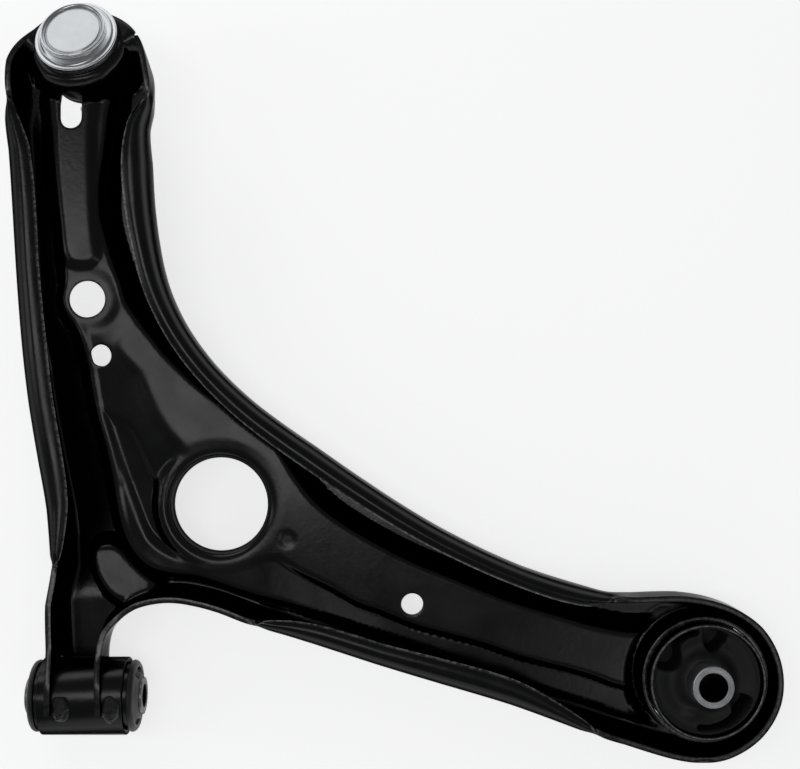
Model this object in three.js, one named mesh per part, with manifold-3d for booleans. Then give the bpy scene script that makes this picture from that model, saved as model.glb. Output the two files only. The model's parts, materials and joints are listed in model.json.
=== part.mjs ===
// Front lower control arm of a car: a one-piece pressed steel arm, open on one side, with a horizontal bush
// in an eye welded to its short leg, a vertical bush in a drawn collar, and a ball joint in a tilted pad.
//
// Millimetres. Arm frame: origin in the middle of the horizontal bush, X along that bush, Y towards the
// ball joint, Z out of the arm's open side. The exported group leans the arm so that it lies on its three
// feet (the eye, the vertical bush's sleeve and the tip of the stud) with its open side up, and puts the
// origin under the middle of its box.

import * as THREE from "three";
import { mergeVertices } from "three/addons/utils/BufferGeometryUtils.js";
import Module from "manifold-3d";

const wasm = await Module();
wasm.setup();

// ---------------------------------------------------------------- driving dimensions

const LEAN = THREE.MathUtils.degToRad(5.2); // turns the arm about X onto its three feet
const GAP = 0.3; // clearance between pieces that touch on the real arm
const WELD_GAP = 0.1; // clearance between a weld and the eye

// The rim of the pressing, once round anticlockwise: where its outermost edge runs (x, y), how far its lip
// is curled inwards (0 where the flange stands upright), and the height of its top edge.
const RIM = [
  [-40.8, 327, 3, 15], [-42.2, 315, 8, 15], [-40.9, 298, 13, 15], [-37.3, 236, 14, 14],
  [-34.1, 193, 15, 14], [-30.3, 160, 15, 14], [-24.8, 127, 15, 14], [-20.5, 103, 13, 14],
  [-17.6, 78, 6, 15], [-16.2, 69, 2, 15], [-18.6, 52, 0, 17], [-17.8, 28, 0, 19],
  [-17.6, 10, 0, 23.5], [-17.6, -3, 0, 23.5], [-13, -8, 0, 12], [5, -8, 0, 12],
  [12.4, -3, 0, 23.5], [12, 10, 0, 23.5], [11.6, 24, 0, 19], [14.2, 36.1, 0, 17],
  [20.2, 43.1, 0, 15], [29.9, 49.9, 0, 15], [46, 53.1, 0, 15], [59, 51.8, 0, 15],
  [75.1, 47.5, 0, 15], [92.9, 40.3, 3, 15], [110, 34.2, 9, 14], [126.3, 28.8, 12, 14],
  [159.6, 17.9, 13, 14], [195.1, 7, 15, 14], [231.7, -3.9, 15, 14], [256, -12, 10, 14.5],
  [272, -17.2, 5, 15], [293.4, -23.2, 0, 15], [314.3, -29.7, 0, 15], [331, -32.9, 0, 15],
  [348.1, -31.4, 0, 15], [366.8, -20, 0, 15], [377.7, -1.2, 0, 15], [377.7, 20.6, 0, 15],
  [367.4, 40, 0, 15], [348.4, 51.9, 0, 15], [324.5, 56.8, 0, 15], [300, 56.2, 0, 15],
  [288, 57, 3, 15], [275, 59.7, 8, 14], [239.4, 70.8, 9, 14], [192.7, 93.1, 10, 14],
  [157.1, 115.3, 11, 14], [124.9, 137.5, 11.5, 14], [93.8, 159.8, 11, 14], [70.4, 182, 10.5, 14],
  [54.3, 204.2, 10.5, 14], [44.3, 226.5, 11, 14], [39.3, 248.7, 12, 14], [36.5, 270.9, 13, 14],
  [35.4, 293.2, 13, 15], [34.6, 311, 9, 15], [37.2, 321, 5, 15], [37.2, 332, 2, 15],
  [35.6, 343.4, 0, 15], [32.6, 356, 0, 15], [26, 365, 0, 13], [14.7, 371.9, 0, 8.5],
  [-1.5, 377, 0, 5], [-15, 373.5, 0, 6.5], [-26.2, 363.3, 0, 11], [-34, 356, 0, 14],
  [-40, 346, 0, 15],
];
const RIM_STEP = 13; // longest distance between two sections of the rim
const SHEET = 3; // thickness of the pressed steel
const RIM_UNDER = 2.6; // how far the rim starts below the middle of the web
const WEB_INSET = 1.6; // where the web starts, measured in from the rim's edge
const WEB_CELL = 10;

const CHANNEL = { floor: -15.2, crest: 4, hub: 5, inner: 14, outer: 23 }; // the web's valley and its crown
const HUB = { x: 70, y: 120, spread: 60 };

const BIG_HOLE = { x: 74.2, y: 105.4, r: 25.5, lip: 3, depth: 5 };
const SMALL_HOLES = [
  { x: 1.1, y: 217.6, r: 10 },
  { x: 8.8, y: 186.8, r: 6 },
  { x: 178.8, y: 51, r: 6 },
];
const SLOT = { x: -7.2, y: 320, r: 6, length: 19 };

// Horizontal bush: half lengths along X, radii about it.
const EYE = { half: 23, inner: 18.3, outer: 21 };
const FRONT_SLEEVE = { half: 25, inner: 16.5, outer: 18 };
const FRONT_RUBBER = { half: 30.8, inner: 10.3, outer: 16.2, flange: 19.4, lip: 25.3 };
const FRONT_BORE = { half: 31.8, inner: 6, outer: 10 };

// Vertical bush, about its axis.
const REAR = { x: 337.7, y: 10.8 };
const COLLAR = { inner: 31.7, outer: 34, low: -17, high: 10, moat: -14 };
const REAR_CAN = { inner: 29.5, outer: 31.35, low: -17, high: 18 };
const REAR_RUBBER = { inner: 11.3, outer: 29.2, low: -13, high: 13 };
const REAR_BORE = { inner: 7.5, outer: 11, low: -21.05, high: 30 };
const REAR_VOIDS = [ // slots through the rubber: start and end angle in degrees, inner and outer radius
  [112, 168, 19.5, 27.5],
  [72, 96, 20, 27.5],
  [-86, -18, 19.5, 27.5],
];

// Ball joint: centre of its flange's top face, its axis out of the closed end, heights along that axis.
const JOINT = { at: [-2, 358.1, 18], axis: [-0.095, 0.418, 0.903] };
const HOUSING = { lip: 17.8, seat: 15.4, top: 5.6, wall: 18.5, base: 20.5, flange: 22.5, flangeDepth: 4.4 };
const HOUSING_BODY = { outer: 20, neck: -16, throat: 18, low: -24.5, cavity: 16.2, mouth: 13.4 };
const PAD = { depth: 6.2, flat: 26, foot: 38, hole: 20.3 };
const BALL = { r: 13.5, depth: 14 };
const STUD = { neck: 6.5, taperTop: 8.6, taperLow: 7.3, thread: 6, length: 60 };
const NUT = { flats: 19, high: -43.5, low: -53, slots: 6, slotWidth: 3.4, slotDepth: 3.6 };
const PIN_DEPTH = -51.2; // height of the split pin's hole below the ball's centre
const CLIP_WIRE = 1; // radius of the wire of both boot rings

const PAINT = { color: 0x0b0b0c, roughness: 0.3, metalness: 0.2 };
const RUBBER = { color: 0x151515, roughness: 0.8, metalness: 0 };
const ZINC = { color: 0xc9ccd0, roughness: 0.28, metalness: 0.9 };
const STEEL = { color: 0x9a9c9e, roughness: 0.4, metalness: 0.9 };
const PLASTIC = { color: 0xd8d5c8, roughness: 0.5, metalness: 0 };

// ---------------------------------------------------------------- helpers

const { lerp, smoothstep } = THREE.MathUtils;

// A closed geometry as a solid that can be joined and cut.
function solid(geometry) {
  const bare = new THREE.BufferGeometry().setAttribute("position", geometry.getAttribute("position").clone());
  if (geometry.index) bare.setIndex(geometry.index.clone());
  const merged = mergeVertices(bare, 1e-3);
  return new wasm.Manifold(
    new wasm.Mesh({
      numProp: 3,
      vertProperties: new Float32Array(merged.attributes.position.array),
      triVerts: new Uint32Array(merged.index.array),
    }),
  );
}

function geometryOf(body) {
  const mesh = body.getMesh();
  const geometry = new THREE.BufferGeometry();
  geometry.setAttribute("position", new THREE.BufferAttribute(mesh.vertProperties, 3));
  geometry.setIndex(new THREE.BufferAttribute(mesh.triVerts, 1));
  geometry.computeVertexNormals();
  return geometry;
}

// The main body of a solid, without any crumbs that a cut has left.
const largest = (body) => body.decompose().sort((a, b) => b.volume() - a.volume())[0];

// Turns a profile of [radius, height] points about Z. It closes on itself unless it starts on the axis.
function turned(profile, segments = 28) {
  const points = profile.map(([r, z]) => new THREE.Vector2(r, z));
  if (THREE.ShapeUtils.area(points) < 0) points.reverse();
  if (points[0].x > 0 || points.at(-1).x > 0) points.push(points[0].clone());
  return new THREE.LatheGeometry(points, segments).rotateX(Math.PI / 2);
}

const ring = (inner, outer, low, high, segments) =>
  turned([[inner, low], [outer, low], [outer, high], [inner, high]], segments);

const rod = (r, low, high, segments) => turned([[0, low], [r, low], [r, high], [0, high]], segments);

const alongX = (geometry) => geometry.rotateY(Math.PI / 2);

function mesh(name, geometry, look) {
  const made = new THREE.Mesh(geometry, new THREE.MeshStandardMaterial(look));
  made.name = name;
  return made;
}

// ---------------------------------------------------------------- the pressed arm

// Points on the rim with their inward normals, its lip and its top edge.
function rimStations() {
  const corners = RIM.map(([x, y]) => new THREE.Vector3(x, y, 0));
  const curve = new THREE.CatmullRomCurve3(corners, true, "centripetal");
  const stations = [];
  RIM.forEach((from, i) => {
    const to = RIM[(i + 1) % RIM.length];
    const steps = Math.ceil(Math.hypot(to[0] - from[0], to[1] - from[1]) / RIM_STEP);
    for (let k = 0; k < steps; k++) {
      const share = k / steps;
      const at = (i + share) / RIM.length;
      const { x, y } = curve.getPoint(at);
      const along = curve.getTangent(at);
      const lip = lerp(from[2], to[2], share);
      const top = lerp(from[3], to[3], share);
      stations.push({ x, y, inX: -along.y, inY: along.x, lip, top });
    }
  });
  return stations;
}

const stations = rimStations();

function distanceToRim(x, y) {
  let nearest = Infinity;
  stations.forEach((a, i) => {
    const b = stations[(i + 1) % stations.length];
    const dx = b.x - a.x;
    const dy = b.y - a.y;
    const share = THREE.MathUtils.clamp(((x - a.x) * dx + (y - a.y) * dy) / (dx * dx + dy * dy), 0, 1);
    nearest = Math.min(nearest, Math.hypot(x - a.x - share * dx, y - a.y - share * dy));
  });
  return nearest;
}

// The ball joint's axis, and the height and the distance from it of the tilted pad at x, y.
const jointAxis = new THREE.Vector3(...JOINT.axis).normalize();
const jointAt = new THREE.Vector3(...JOINT.at);
const padCentre = jointAt.clone().addScaledVector(jointAxis, -PAD.depth);

function padHeight(x, y) {
  return padCentre.z - (jointAxis.x * (x - padCentre.x) + jointAxis.y * (y - padCentre.y)) / jointAxis.z;
}

function padDistance(x, y) {
  return new THREE.Vector3(x, y, padHeight(x, y)).distanceTo(padCentre);
}

// Height of the middle of the sheet: a crown between two valleys, a tilted pad and a moat round the collar.
function webHeight(x, y) {
  const depth = distanceToRim(x, y);
  const hubShare = Math.exp(-((x - HUB.x) ** 2 + (y - HUB.y) ** 2) / (2 * HUB.spread ** 2));
  const crest = CHANNEL.crest + CHANNEL.hub * hubShare;
  const channel = lerp(CHANNEL.floor, crest, smoothstep(depth, CHANNEL.inner, CHANNEL.outer));
  const rearShare = smoothstep(Math.hypot(x - REAR.x, y - REAR.y), 42, 52);
  const padShare = smoothstep(padDistance(x, y), PAD.flat, PAD.foot);
  return lerp(padHeight(x, y), lerp(COLLAR.moat, channel, rearShare), padShare);
}

// The middle line of the rim's section, from just under the web to its edge: [distance in, height].
function rimSection({ x, y, inX, inY, lip, top }) {
  const low = webHeight(x + inX * SHEET, y + inY * SHEET) - RIM_UNDER;
  const curl = smoothstep(lip, 0, 6);
  const rise = top - low;
  return [
    [SHEET / 2, low],
    [SHEET / 2, top - Math.min(lerp(5, 10, curl), 0.4 * rise)],
    [lerp(SHEET / 2, 4.5, curl), top - Math.min(lerp(2, 2.5, curl), 0.15 * rise)],
    [Math.max(SHEET / 2, lip), top - curl],
  ];
}

// The section given the sheet's thickness, as a closed outline.
function thickened(line) {
  const sides = [[], []];
  line.forEach(([d, z], i) => {
    const before = line[Math.max(i - 1, 0)];
    const after = line[Math.min(i + 1, line.length - 1)];
    const along = new THREE.Vector2(after[0] - before[0], after[1] - before[1]).normalize();
    sides[0].push([d - (along.y * SHEET) / 2, z + (along.x * SHEET) / 2]);
    sides[1].push([d + (along.y * SHEET) / 2, z - (along.x * SHEET) / 2]);
  });
  return [...sides[0], ...sides[1].reverse()];
}

function rim() {
  const positions = [];
  const faces = [];
  const loops = stations.map((s) => thickened(rimSection(s)).map(([d, z]) => [s.x + s.inX * d, s.y + s.inY * d, z]));
  const size = loops[0].length;
  loops.forEach((loop, i) => {
    const next = ((i + 1) % loops.length) * size;
    loop.forEach((point, j) => {
      positions.push(...point);
      const here = i * size + j;
      const beside = i * size + ((j + 1) % size);
      const across = next + ((j + 1) % size);
      faces.push(here, across, beside, here, next + j, across);
    });
  });
  return solid(closedGeometry(positions, faces));
}

function closedGeometry(positions, faces) {
  const geometry = new THREE.BufferGeometry();
  geometry.setAttribute("position", new THREE.Float32BufferAttribute(positions, 3));
  geometry.setIndex(faces);
  return geometry;
}

// A sheet over the whole arm that follows webHeight, as a closed slab.
function webSlab() {
  const xs = stations.map((s) => s.x);
  const ys = stations.map((s) => s.y);
  const [left, front] = [Math.min(...xs) - WEB_CELL, Math.min(...ys) - WEB_CELL];
  const columns = Math.ceil((Math.max(...xs) - left) / WEB_CELL) + 1;
  const rows = Math.ceil((Math.max(...ys) - front) / WEB_CELL) + 1;
  const slab = new THREE.BoxGeometry(1, 1, 1, columns, rows, 1);
  const place = slab.getAttribute("position");
  for (let i = 0; i < place.count; i++) {
    const x = left + (place.getX(i) + 0.5) * columns * WEB_CELL;
    const y = front + (place.getY(i) + 0.5) * rows * WEB_CELL;
    place.setXYZ(i, x, y, webHeight(x, y) + Math.sign(place.getZ(i)) * (SHEET / 2));
  }
  return solid(slab);
}

function prism(shape, low, high) {
  return solid(new THREE.ExtrudeGeometry(shape, { depth: high - low, bevelEnabled: false }).translate(0, 0, low));
}

function insideRim() {
  const inset = stations.map(({ x, y, inX, inY }) => new THREE.Vector2(x + inX * WEB_INSET, y + inY * WEB_INSET));
  return prism(new THREE.Shape(inset), -60, 60);
}

function slotShape() {
  const reach = SLOT.length / 2 - SLOT.r;
  const shape = new THREE.Shape();
  shape.absarc(SLOT.x, SLOT.y + reach, SLOT.r, 0, Math.PI);
  shape.absarc(SLOT.x, SLOT.y - reach, SLOT.r, Math.PI, 2 * Math.PI);
  return shape;
}

// Turns a geometry built along Z from the flange's top face onto the ball joint's axis.
function ontoJoint(geometry) {
  const turn = new THREE.Quaternion().setFromUnitVectors(new THREE.Vector3(0, 0, 1), jointAxis);
  return geometry.applyQuaternion(turn).translate(...JOINT.at);
}

function armShell() {
  const holeHeight = webHeight(BIG_HOLE.x + BIG_HOLE.r, BIG_HOLE.y);
  const holeLip = ring(BIG_HOLE.r, BIG_HOLE.r + BIG_HOLE.lip, -BIG_HOLE.depth, 1, 32);
  const collar = ring(COLLAR.inner, COLLAR.outer, COLLAR.low, COLLAR.high, 48);
  const seat = HOUSING.flangeDepth + GAP;
  const cutters = [
    rod(COLLAR.inner, -60, 60, 48).translate(REAR.x, REAR.y, 0),
    rod(BIG_HOLE.r, -60, 60, 32).translate(BIG_HOLE.x, BIG_HOLE.y, 0),
    alongX(rod(EYE.outer + GAP, -60, 60)),
    ontoJoint(rod(PAD.hole, -60, 1)),
    ontoJoint(rod(HOUSING.flange + 2 * GAP, -seat, 20)),
    ...SMALL_HOLES.map(({ x, y, r }) => rod(r, -60, 60, 20).translate(x, y, 0)),
  ];
  let shell = webSlab().intersect(insideRim()).add(rim());
  shell = shell.add(solid(holeLip.translate(BIG_HOLE.x, BIG_HOLE.y, holeHeight)));
  shell = shell.add(solid(collar.translate(REAR.x, REAR.y, 0)));
  cutters.forEach((cutter) => {
    shell = shell.subtract(solid(cutter));
  });
  return largest(shell.subtract(prism(slotShape(), -60, 60)));
}

// ---------------------------------------------------------------- eye, welds and horizontal bush

const eyeTube = () => alongX(ring(EYE.inner, EYE.outer, -EYE.half, EYE.half));

// A bead of weld on the eye: a rounded lump that follows the tube's skin.
function weldBead(x, y, halfX, halfY) {
  const skin = Math.sqrt(EYE.outer ** 2 - y ** 2);
  const lump = new THREE.SphereGeometry(1, 12, 10).scale(halfX, halfY, 4).translate(x, y, skin);
  return geometryOf(solid(lump).subtract(solid(alongX(rod(EYE.outer + WELD_GAP, -60, 60)))));
}

function farWeld(shell) {
  const toe = new THREE.CylinderGeometry(2.7, 2.7, 21, 10).rotateZ(Math.PI / 2).translate(-3.6, 12.6, -18.2);
  const clear = shell.translate([0, -GAP, -GAP]).add(shell).add(shell.translate([0, -GAP, 0]));
  const bead = solid(toe).subtract(solid(alongX(rod(EYE.outer + WELD_GAP, -60, 60)))).subtract(clear);
  return geometryOf(largest(bead));
}

const frontOuterSleeve = () =>
  alongX(ring(FRONT_SLEEVE.inner, FRONT_SLEEVE.outer, -FRONT_SLEEVE.half, FRONT_SLEEVE.half));

function frontRubber() {
  const { half, inner, outer, flange, lip } = FRONT_RUBBER;
  return alongX(turned([
    [inner, -half], [flange - 3, -half], [flange, -half + 2.5], [flange, -lip], [outer, -lip],
    [outer, lip], [flange, lip], [flange, half - 2.5], [flange - 3, half], [inner, half],
  ]));
}

const frontInnerSleeve = () =>
  alongX(ring(FRONT_BORE.inner, FRONT_BORE.outer, -FRONT_BORE.half, FRONT_BORE.half));

// ---------------------------------------------------------------- vertical bush

const atRear = (geometry) => geometry.translate(REAR.x, REAR.y, 0);

const rearCan = () => atRear(ring(REAR_CAN.inner, REAR_CAN.outer, REAR_CAN.low, REAR_CAN.high, 48));

function rearRubber() {
  const { inner, outer, low, high } = REAR_RUBBER;
  const shape = new THREE.Shape().absarc(0, 0, outer, 0, 2 * Math.PI);
  shape.holes.push(new THREE.Path().absarc(0, 0, inner, 0, 2 * Math.PI));
  REAR_VOIDS.forEach(([from, to, near, far]) => {
    const [start, end] = [from, to].map(THREE.MathUtils.degToRad);
    shape.holes.push(new THREE.Path().absarc(0, 0, far, start, end).absarc(0, 0, near, end, start, true));
  });
  const options = { depth: high - low, bevelEnabled: false, curveSegments: 14 };
  return atRear(new THREE.ExtrudeGeometry(shape, options).translate(0, 0, low));
}

const rearInnerSleeve = () => atRear(ring(REAR_BORE.inner, REAR_BORE.outer, REAR_BORE.low, REAR_BORE.high));

// ---------------------------------------------------------------- ball joint (built along its own axis)

const ballZ = -BALL.depth;

function housing() {
  const { lip, seat, top, wall, base, flange, flangeDepth } = HOUSING;
  const { outer, neck, throat, low, cavity, mouth } = HOUSING_BODY;
  return turned([
    [seat, top - 1.2], [lip - 0.6, top], [lip, top - 0.8], [wall, top - 2], [base, 0], [flange, -0.6],
    [flange, -flangeDepth], [outer, -flangeDepth], [outer, neck], [throat, neck - 1.5], [throat, low],
    [mouth, low],
    [mouth, low + 1.6], [cavity, ballZ - 2], [cavity, 2.2], [seat + 1, 2.2], [seat + 1, 4], [seat, 4.1],
  ]);
}

const cover = () => rod(HOUSING.seat + 0.7, 2.5, 3.7);

// The heights and radii of the plastic seat's inside, which follows the ball between two heights about it.
function seatInside(from, to) {
  const inside = [];
  for (let i = 0; i <= 5; i++) {
    const height = lerp(from, to, i / 5);
    inside.push([Math.sqrt((BALL.r + GAP) ** 2 - height ** 2), ballZ + height]);
  }
  return inside;
}

const seatOuter = HOUSING_BODY.cavity - GAP;

const upperSeat = () => turned([[seatOuter, ballZ + 0.2], ...seatInside(0.2, 11), [seatOuter, ballZ + 11]]);

const lowerSeat = () =>
  turned([[seatOuter, ballZ - 0.2], ...seatInside(-0.2, -7), [13.6, ballZ - 8.2], [seatOuter - 0.2, ballZ - 2.3]]);

const preloadWasher = () => ring(8.2, 14.5, -2.6, 2.1);

function ballStud() {
  const { neck, taperTop, taperLow, thread, length } = STUD;
  const profile = [[0, BALL.r]];
  for (let angle = 75; angle >= -60; angle -= 15) {
    const turn = THREE.MathUtils.degToRad(angle);
    profile.push([BALL.r * Math.cos(turn), BALL.r * Math.sin(turn)]);
  }
  profile.push(
    [neck, -13], [neck, -19], [taperTop + 1, -23], [taperTop + 1, -25.5], [taperTop, -26],
    [taperLow, -41], [thread, -42], [thread, 1 - length], [thread - 1, -length], [0, -length],
  );
  const body = solid(turned(profile, 28));
  const hole = solid(new THREE.CylinderGeometry(1.9, 1.9, 30, 10).rotateZ(Math.PI / 2).translate(0, 0, PIN_DEPTH));
  return geometryOf(body.subtract(hole)).translate(0, 0, ballZ);
}

function dustBoot() {
  return turned([
    [18.3, -19.2], [20.2, -19.2], [20.2, -24], [22.3, -28], [21.9, -31.5], [17.6, -35.4], [11.9, -37],
    [11.9, -39.3], [10.1, -39.3], [10.1, -35.4], [16, -33.6], [19.9, -30.6], [20.2, -28], [18.3, -24.8],
  ]);
}

// A wire ring round the boot.
const clip = (r, z) => new THREE.TorusGeometry(r, CLIP_WIRE, 6, 24).translate(0, 0, z);

function castleNut() {
  const across = NUT.flats / Math.sqrt(3);
  const top = ballZ + NUT.high;
  const low = ballZ + NUT.low;
  let nut = solid(new THREE.CylinderGeometry(across, across, top - low, 6).rotateX(Math.PI / 2)
    .translate(0, 0, (top + low) / 2));
  nut = nut.subtract(solid(rod(STUD.thread + GAP, low - 5, top + 5, 28)));
  for (let i = 0; i < NUT.slots / 2; i++) {
    const slot = new THREE.BoxGeometry(60, NUT.slotWidth, NUT.slotDepth + 1);
    slot.translate(0, 0, low + (NUT.slotDepth - 1) / 2).rotateZ((i * Math.PI) / 3);
    nut = nut.subtract(solid(slot));
  }
  return geometryOf(nut);
}

// The split pin: a shank through nut and stud with an eye at one end and its legs bent down at the other.
function cotterPin() {
  const z = ballZ + PIN_DEPTH;
  const shank = new THREE.CylinderGeometry(1.3, 1.3, 26, 10).rotateZ(Math.PI / 2).translate(0, 0, z);
  const eye = new THREE.TorusGeometry(2.2, 1.1, 6, 12).rotateX(Math.PI / 2).translate(-14.5, 0, z);
  const legs = new THREE.CylinderGeometry(1.25, 1.25, 7, 10).rotateX(Math.PI / 2).translate(12.6, 0, z + 3.2);
  return geometryOf(solid(shank).add(solid(eye)).add(solid(legs)));
}

// ---------------------------------------------------------------- assembly

function ballJoint() {
  return [
    mesh("ball_joint_housing", ontoJoint(housing()), ZINC),
    mesh("ball_joint_cover", ontoJoint(cover()), ZINC),
    mesh("preload_washer", ontoJoint(preloadWasher()), RUBBER),
    mesh("ball_seat_upper", ontoJoint(upperSeat()), PLASTIC),
    mesh("ball_seat_lower", ontoJoint(lowerSeat()), PLASTIC),
    mesh("ball_stud", ontoJoint(ballStud()), STEEL),
    mesh("dust_boot", ontoJoint(dustBoot()), RUBBER),
    mesh("boot_clip_lower", ontoJoint(clip(21.4, -21.7)), STEEL),
    mesh("boot_clip_upper", ontoJoint(clip(13.3, -38.2)), STEEL),
    mesh("castle_nut", ontoJoint(castleNut()), ZINC),
    mesh("cotter_pin", ontoJoint(cotterPin()), STEEL),
  ];
}

function bushes() {
  return [
    mesh("front_eye_tube", eyeTube(), PAINT),
    mesh("front_outer_sleeve", frontOuterSleeve(), STEEL),
    mesh("front_rubber", frontRubber(), RUBBER),
    mesh("front_inner_sleeve", frontInnerSleeve(), STEEL),
    mesh("rear_can", rearCan(), PAINT),
    mesh("rear_rubber", rearRubber(), RUBBER),
    mesh("rear_inner_sleeve", rearInnerSleeve(), ZINC),
  ];
}

function pressing() {
  const shell = armShell();
  return [
    mesh("arm_shell", geometryOf(shell), PAINT),
    mesh("weld_bead_left", weldBead(-9.2, -2.5, 4.8, 6.5), PAINT),
    mesh("weld_bead_right", weldBead(17.4, -2.5, 4.4, 6.5), PAINT),
    mesh("weld_bead_far", farWeld(shell), PAINT),
  ];
}

function controlArm() {
  const arm = new THREE.Group();
  arm.add(...pressing(), ...bushes(), ...ballJoint());
  arm.rotation.x = LEAN;
  const stand = new THREE.Group();
  stand.add(arm);
  const box = new THREE.Box3().setFromObject(stand, true);
  const middle = box.getCenter(new THREE.Vector3());
  arm.position.set(-middle.x, -middle.y, -box.min.z);
  return stand;
}

export default controlArm();
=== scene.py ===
"""Looks of a car's pressed steel front lower control arm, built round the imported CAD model.

Shapes are worked out in millimetres in the arm's own frame: origin in the middle of the horizontal bush,
X along it, Y towards the ball joint, Z out of the arm's open side. TO_ROW puts them in the model's frame.
"""

import json
import math

import bmesh
import bpy
import numpy as np
from mathutils import Matrix, Vector, noise
from mathutils.geometry import delaunay_2d_cdt
from mathutils.kdtree import KDTree


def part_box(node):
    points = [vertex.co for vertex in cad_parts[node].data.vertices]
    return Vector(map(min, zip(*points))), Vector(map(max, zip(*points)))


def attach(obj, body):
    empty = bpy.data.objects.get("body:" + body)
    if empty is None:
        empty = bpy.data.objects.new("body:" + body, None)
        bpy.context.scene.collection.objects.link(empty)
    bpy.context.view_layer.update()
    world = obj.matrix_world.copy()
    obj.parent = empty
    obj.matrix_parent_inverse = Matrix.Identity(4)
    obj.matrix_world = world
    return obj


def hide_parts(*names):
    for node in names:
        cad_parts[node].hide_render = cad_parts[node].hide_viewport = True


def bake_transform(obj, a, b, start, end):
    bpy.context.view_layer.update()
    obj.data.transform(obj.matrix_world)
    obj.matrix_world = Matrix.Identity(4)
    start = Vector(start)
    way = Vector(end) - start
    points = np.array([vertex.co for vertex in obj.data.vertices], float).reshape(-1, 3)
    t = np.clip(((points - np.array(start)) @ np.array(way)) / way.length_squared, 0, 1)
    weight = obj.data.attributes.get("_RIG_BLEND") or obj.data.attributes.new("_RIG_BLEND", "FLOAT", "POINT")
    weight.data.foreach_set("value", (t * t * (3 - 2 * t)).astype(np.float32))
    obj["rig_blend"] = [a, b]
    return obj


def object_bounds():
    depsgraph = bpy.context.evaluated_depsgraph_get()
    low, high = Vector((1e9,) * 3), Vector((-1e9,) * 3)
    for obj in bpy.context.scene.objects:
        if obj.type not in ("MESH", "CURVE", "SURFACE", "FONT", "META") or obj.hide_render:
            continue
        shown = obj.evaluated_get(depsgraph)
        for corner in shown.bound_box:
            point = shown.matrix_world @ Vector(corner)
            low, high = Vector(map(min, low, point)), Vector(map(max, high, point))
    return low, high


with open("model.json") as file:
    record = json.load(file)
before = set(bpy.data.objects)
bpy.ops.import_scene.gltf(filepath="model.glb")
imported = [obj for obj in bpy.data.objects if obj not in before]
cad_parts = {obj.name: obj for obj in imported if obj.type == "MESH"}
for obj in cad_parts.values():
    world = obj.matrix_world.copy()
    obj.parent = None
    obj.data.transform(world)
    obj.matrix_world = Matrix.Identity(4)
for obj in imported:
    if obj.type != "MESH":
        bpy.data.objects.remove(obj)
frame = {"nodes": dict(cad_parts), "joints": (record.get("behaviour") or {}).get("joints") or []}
cad_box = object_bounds()

# ---------------------------------------------------------------- places taken from the frame

MM = 0.001
LEAN = math.radians(5.2)  # the arm leans about X to lie on its three feet


def middle(node):
    low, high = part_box(node)
    return (low + high) / 2


def joint(name):
    return next(j for j in frame["joints"] if j["name"] == name)


TO_ROW = Matrix.Translation(middle("front_eye_tube")) @ Matrix.Rotation(LEAN, 4, "X") @ Matrix.Scale(MM, 4)
TO_ARM = TO_ROW.inverted()
REAR = TO_ARM @ middle("rear_inner_sleeve")
STUD_AXIS = (TO_ARM.to_3x3() @ Vector(joint("stud_spin")["axis"])).normalized()
BALL_DEPTH = 14  # from the housing flange's top face down to the ball's centre
JOINT_AT = TO_ARM @ Vector(joint("ball_swing")["pos_m"]) + BALL_DEPTH * STUD_AXIS

# Where the turned pieces stand: each place's Z is the piece's own axis.
ALONG_X = Matrix.Rotation(math.pi / 2, 4, "Y")
AT_REAR = Matrix.Translation((REAR.x, REAR.y, 0))
ONTO_STUD_AXIS = Vector((0, 0, 1)).rotation_difference(STUD_AXIS).to_matrix().to_4x4()
ON_JOINT = Matrix.Translation(JOINT_AT) @ ONTO_STUD_AXIS

# ---------------------------------------------------------------- dimensions of the pressing

SHEET = 3  # the sheet's thickness
COLLAR = {"inner": 31.7, "outer": 34, "top": 10}  # the drawn wall round the rear bush
COLLAR_WALL = (COLLAR["inner"] + COLLAR["outer"]) / 2
PAD = {"depth": 6.2, "flat": 23.5, "foot": 35, "hole": 20.3}  # the seat of the ball joint, square to its axis
BIG_HOLE = {"x": 74.2, "y": 105.4, "r": 25.5}
SMALL_HOLES = [(1.1, 217.6, 10), (8.8, 186.8, 6), (178.8, 51, 6)]  # x, y and radius
SLOT = {"x": -7.2, "y": 320, "r": 6, "length": 19}
EYE_CUT = 21.3  # radius of the round gap in the leg's flanges that the eye tube sits in

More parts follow.
